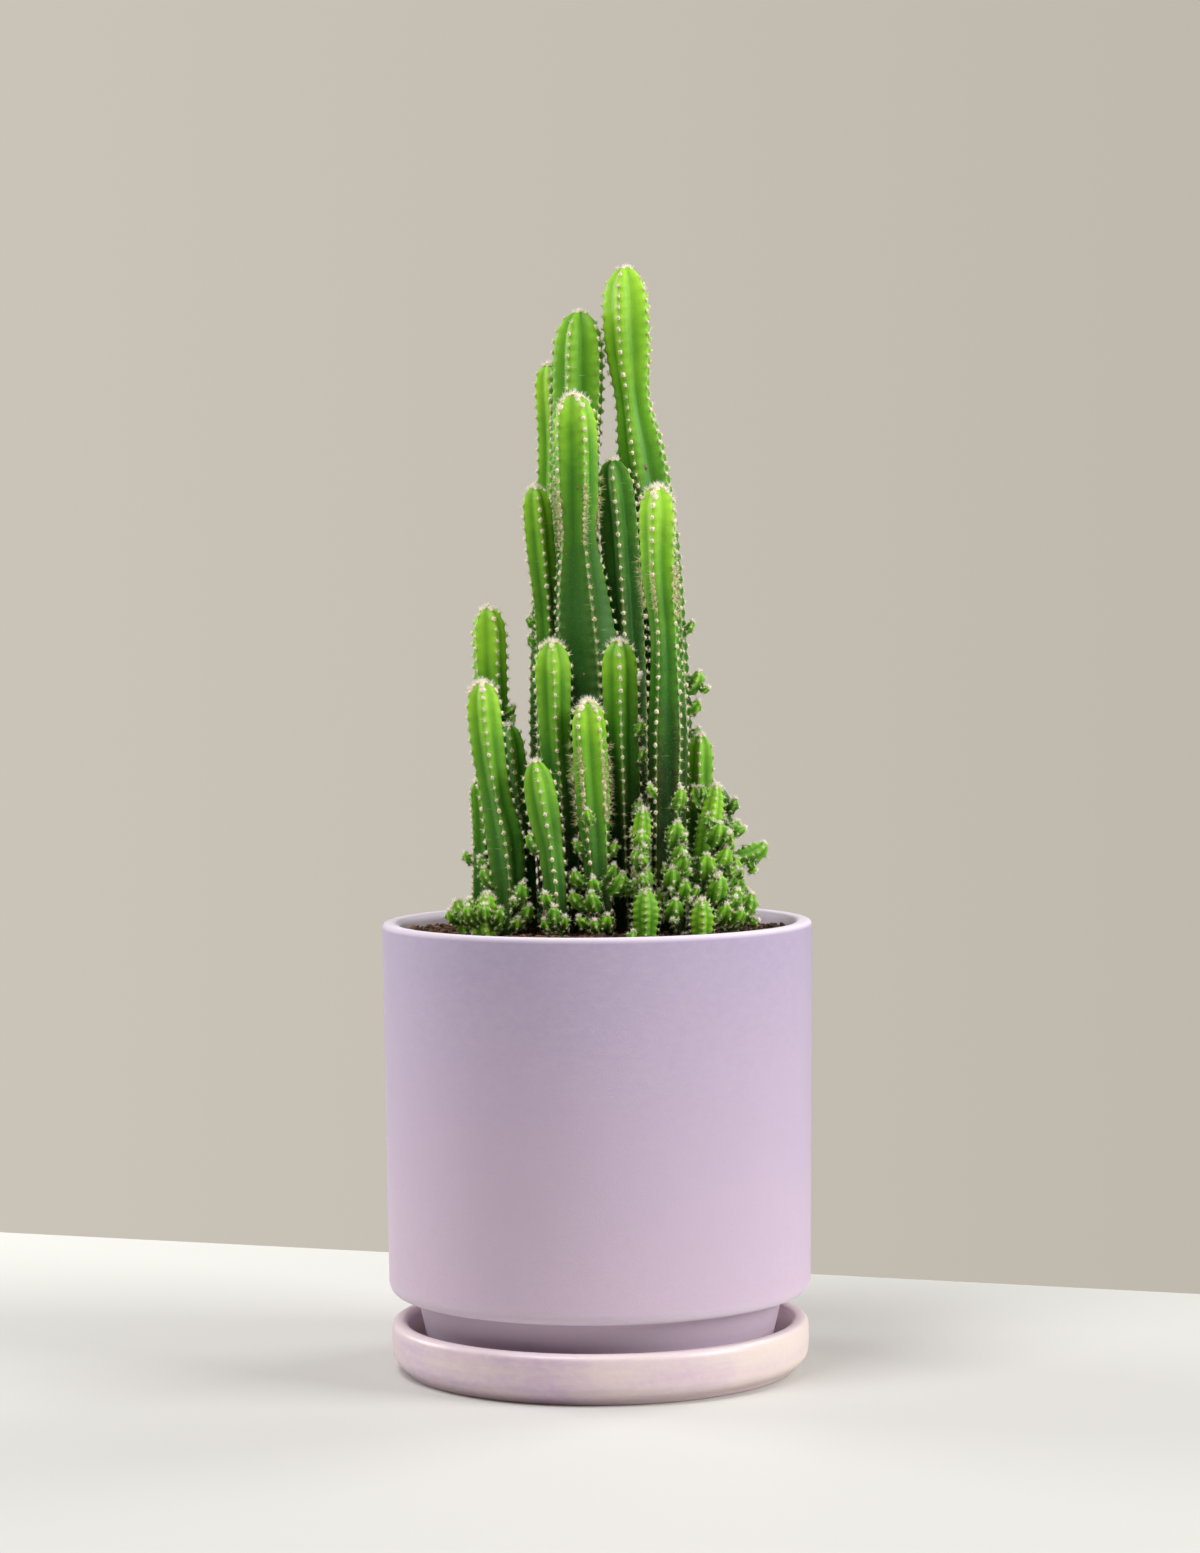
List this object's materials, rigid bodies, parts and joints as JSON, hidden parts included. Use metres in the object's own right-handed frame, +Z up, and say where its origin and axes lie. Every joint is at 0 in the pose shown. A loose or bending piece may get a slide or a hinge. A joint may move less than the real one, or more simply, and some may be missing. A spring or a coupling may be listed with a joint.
{
  "type": "potted fairy castle cactus",
  "caption": "Clustered ribbed columnar cactus with small basal offsets, rooted in soil in a plain cylindrical ceramic pot standing on its matching saucer.",
  "frame": {"origin": "middle of the saucer's underside, on the pot's axis, at the level that the saucer stands on", "axes": "+Z up along the pot's axis, -Y towards the viewer of the front, +X to that viewer's right"},
  "size_m": [0.203, 0.203, 0.523],
  "materials": {
    "pot_ceramic": "matte lilac ceramic with faint mottling",
    "saucer_glaze": "streaky semi-gloss lilac and beige glaze",
    "soil": "dark brown peat and coir with tan fibres",
    "flesh_young": "satin bright yellow-green cactus skin",
    "flesh_green": "satin green cactus skin",
    "flesh_old": "satin dark blue-green cactus skin",
    "spines": "cream wool and straw-coloured short spines"
  },
  "bodies": {
    "root": {"saucer": "saucer_glaze", "pot": "pot_ceramic", "soil": "soil", "stem_tallest": "flesh_green", "stem_back_centre": "flesh_green", "stem_back_left": "flesh_green", "stem_front_tall": "flesh_old", "stem_mid_left": "flesh_green", "stem_dark_centre": "flesh_old", "stem_front_right": "flesh_green", "stem_short_left": "flesh_green", "stem_short_centre": "flesh_green", "stem_front_centre": "flesh_young", "stem_outer_left": "flesh_young", "stem_left_front": "flesh_green", "stem_behind_left": "flesh_old", "stem_low_left": "flesh_green", "stem_far_left": "flesh_green", "stem_small_right": "flesh_green", "stem_stub_right": "flesh_old", "stem_rear_right": "flesh_green", "stem_rear_left": "flesh_old", "pups_centre": "flesh_young", "pup_front": "flesh_young", "pup_front_right": "flesh_young", "pups_right": "flesh_young", "pups_left": "flesh_young", "pups_far_left": "flesh_young"}
  },
  "joints": []
}
